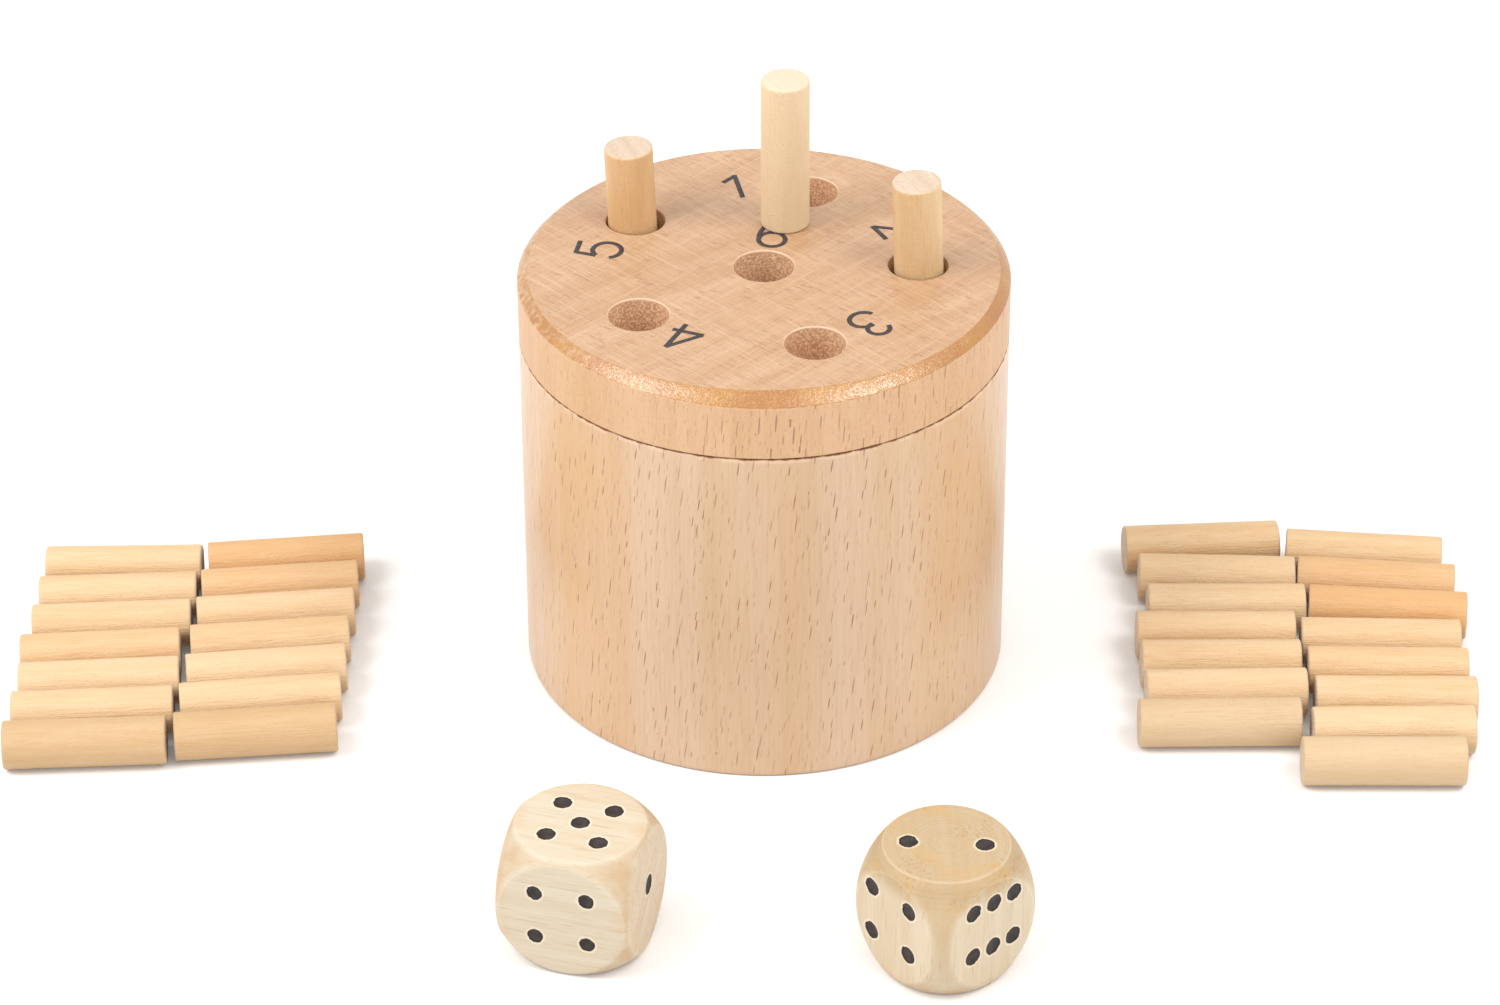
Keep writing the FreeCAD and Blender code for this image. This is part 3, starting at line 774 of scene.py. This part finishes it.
def die_material(name, fibre_turn, flat_tones, ball_tones, ring, toned):
    """Wood of one die: block coordinates are turned so that the fibres run along the third axis.
    Toned is how strongly the turning has left lines, dark dashes and warm patches round the top."""
    material, tree, shader = new_material(name)
    block = shader_node(tree, "Attribute", attribute_name="block").outputs["Vector"]
    place = shader_node(tree, "Mapping", {"Vector": block, "Rotation": fibre_turn}).outputs[0]
    broad = use_group(tree, fibre_figure, {"Place": place, "Across": 2.6, "Along": 60.0})
    fine = use_group(tree, fibre_figure, {"Place": place, "Across": 3.6, "Along": 60.0})
    rings = use_group(tree, end_grain, {"Place": place, "Turn": 0.6, "Ring": ring})
    flat = blend_colour(tree, broad["Streak"], *flat_tones)
    flat = stain(tree, flat, fine["Line"], 0.2, tone(178, 156, 124))
    flat = stain(tree, flat, fine["Dash"], 0.4, tone(158, 128, 92))
    flat = stain(tree, flat, rings["Band"], 0.3, flat_tones[1])
    ball = blend_colour(tree, broad["Streak"], *ball_tones)
    ball = stain(tree, ball, rings["Band"], 0.3, ball_tones[1])
    ball = stain(tree, ball, fine["Dash"], 0.3, tone(170, 126, 78))
    upward = coordinates(tree, block)[2]
    # Towards the bottom the ball region takes the flat's lighter tone.
    bare = reckon(tree, "MULTIPLY", between(tree, upward, 4.0, -5.0), 0.6 * toned)
    ball = blend_colour(tree, bare, ball, flat)
    past_flat = spread_value(tree, "past_flat")
    colour = blend_colour(tree, between(tree, past_flat, -0.2, 1.8), flat, ball)
    along_fibres = reckon(tree, "ABSOLUTE", coordinates(tree, place)[2])
    end_bands = reckon(tree, "MULTIPLY", between(tree, along_fibres, 8.5, 12.0), rings["Band"])
    colour = stain(tree, colour, end_bands, 0.45, tone(188, 146, 96))
    high = reckon(tree, "MULTIPLY", between(tree, upward, 6.0, 10.5), toned)
    lines = between(tree, noise_along(tree, from_turning_axis(tree, block), 2.4), 0.48, 0.62)
    lines = reckon(tree, "MULTIPLY", lines, high)
    colour = stain(tree, colour, high, 0.6, tone(164, 143, 110))
    colour = stain(tree, colour, lines, 0.32, tone(168, 134, 90))
    patch = between(tree, noise(tree, block, 0.14, 2.0, 0.6), 0.45, 0.72)
    patch = reckon(tree, "MULTIPLY", patch, high)
    colour = stain(tree, colour, patch, 0.6, tone(184, 148, 92))
    specks = between(tree, noise(tree, block, 1.4, 3.0, 0.7), 0.52, 0.68)
    gathered = between(tree, noise(tree, block, 0.1, 1.0), 0.42, 0.6)
    specks = reckon(tree, "MULTIPLY", reckon(tree, "MULTIPLY", specks, high), gathered)
    colour = stain(tree, colour, specks, 0.65, tone(146, 108, 68))
    # Painted highlight: a thin pale line where each flat meets the ball.
    rim = between(tree, reckon(tree, "ABSOLUTE", past_flat), 0.4, 0.05)
    colour = stain(tree, colour, rim, 0.15, tone(216, 199, 172))
    ragged = reckon(tree, "MULTIPLY_ADD", noise(tree, place, 1.2, 2.0), 0.5, -0.25)
    to_pip = reckon(tree, "ADD", spread_value(tree, "pip"), ragged)
    halo = reckon(tree, "MULTIPLY", between(tree, to_pip, 0.55, 0.2), 0.5)
    colour = blend_colour(tree, halo, colour, tone(222, 208, 186))
    blotch = noise(tree, place, 0.9, 2.0)
    paint = blend_colour(tree, between(tree, blotch, 0.35, 0.65), tone(34, 24, 22), tone(52, 41, 38))
    paint = blend_colour(tree, between(tree, to_pip, -0.5, -0.1), paint, tone(16, 8, 6))
    painted = between(tree, to_pip, 0.06, -0.06)
    colour = blend_colour(tree, painted, colour, paint)
    roughness = reckon(tree, "MULTIPLY_ADD", fine["Line"], 0.12, 0.42)
    roughness = reckon(tree, "MULTIPLY_ADD", painted, 0.2, roughness)
    finish_wood(tree, shader, colour, roughness, fine["Line"], grain_relief)
    return material


die_woods = {
    "die_left": die_material("pale die wood", (0.0, np.radians(90.0), 0.0),
                             (tone(197, 185, 164), tone(191, 175, 150)),
                             (tone(189, 170, 143), tone(182, 157, 124)), 2.2, 0.0),
    "die_right": die_material("warm die wood", (0.0, 0.0, 0.0),
                              (tone(198, 183, 158), tone(192, 173, 144)),
                              (tone(183, 163, 132), tone(177, 151, 114)), 1.6, 1.0),
}
for name, wood in die_woods.items():
    middle = np.array([die_middle_x[name], die_middle_y[name], die_half])
    sides = [die_face(*face_across_up[face], count, pip_lifts[name].get(face, 0.0),
                      pip_shifts[name].get(face, 0.0), pip_radius - pip_trims[name].get(face, 0.0),
                      die_girth[name], die_top[name], middle, die_turn[name])
             for face, count in die_counts[name].items()]
    die = make_piece(name + "_turned", sides, wood)
    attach(die, name)
    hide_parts(name)

# Table: a wide white sheet that everything lies on, lit from above and from below.
# Its own glow rises with the distance, so it stays white as far as it can be seen.
table_half = 3000.0
table_points = 9
table_white, tree, shader = new_material("white table")
place = place_in_mm(tree)
cloudy = noise(tree, place, 0.004, 2.0)
colour = blend_colour(tree, cloudy, tone(233, 232, 231), tone(230, 229, 228))
tree.links.new(colour, shader.inputs["Base Color"])
far_off = between(tree, from_turning_axis(tree, place), 350.0, 1200.0)
glow = blend_colour(tree, far_off, tone(128, 127, 127), tone(255, 255, 254))
tree.links.new(glow, shader.inputs["Emission Color"])
shader.inputs["Emission Strength"].default_value = 0.3
shader.inputs["Roughness"].default_value = 0.85
shader.inputs["Specular IOR Level"].default_value = 0.2
side = np.linspace(-table_half, table_half, table_points)
level = np.stack([*np.meshgrid(side, side), np.zeros((table_points, table_points))], axis=-1)
table = make_piece("table", [(level, {})], table_white)

# Light: an even white dome, with a soft box high on each side, the left one the stronger.
# Both shine on the lid's bevel. Places and sizes are in metres, power in watts.
aim = (0, 0, 0.05)
world = bpy.data.worlds.new("white dome")
bpy.context.scene.world = world
world.use_nodes = True
world.node_tree.nodes["Background"].inputs["Color"].default_value = (1.0, 0.998, 0.995, 1.0)
world.node_tree.nodes["Background"].inputs["Strength"].default_value = 1.02


def soft_box(name, place, width, height, power):
    """Rectangular light at a place, turned to face the aim."""
    light = bpy.data.lights.new(name, "AREA")
    light.shape = "RECTANGLE"
    light.size = width
    light.size_y = height
    light.energy = power
    lamp = bpy.data.objects.new(name, light)
    bpy.context.scene.collection.objects.link(lamp)
    away = np.array(place) - np.array(aim)
    away /= np.linalg.norm(away)
    right = np.cross((0.0, 0.0, 1.0), away)
    right /= np.linalg.norm(right)
    turn = np.eye(4)
    turn[:3, :3] = np.stack([right, np.cross(away, right), away], axis=1)
    turn[:3, 3] = place
    lamp.matrix_world = Matrix(turn.tolist())


soft_box("left_soft_box", (-0.74, -0.27, 0.95), width=0.6, height=0.7, power=9.1)
soft_box("right_soft_box", (0.6, -0.36, 0.99), width=0.6, height=0.48, power=6.5)

# Camera: a long lens in front and above, solved from the outlines of the round box and its holes.
# Its angles are yaw, pitch and roll in degrees, and its place is in metres.
camera_angles = [0.0669, 33.5712, -0.2373]
camera_place = (-0.001764, -0.813663, 0.5706)
view = bpy.data.cameras.new("view")
view.lens = 125.0
view.sensor_width = 36.0
view.clip_start = 0.05
view.clip_end = 50.0
camera = bpy.data.objects.new("camera", view)
bpy.context.scene.collection.objects.link(camera)
yaw, pitch, roll = np.radians(camera_angles)
forward = np.array([-np.sin(yaw) * np.cos(pitch), np.cos(yaw) * np.cos(pitch), -np.sin(pitch)])
level_right = np.array([np.cos(yaw), np.sin(yaw), 0.0])
level_up = np.cross(level_right, forward)
camera_turn = np.eye(4)
camera_turn[:3, 0] = np.cos(roll) * level_right + np.sin(roll) * level_up
camera_turn[:3, 1] = np.cos(roll) * level_up - np.sin(roll) * level_right
camera_turn[:3, 2] = -forward
camera_turn[:3, 3] = camera_place
camera.matrix_world = Matrix(camera_turn.tolist())
bpy.context.scene.camera = camera
bpy.context.scene.view_settings.view_transform = "Standard"
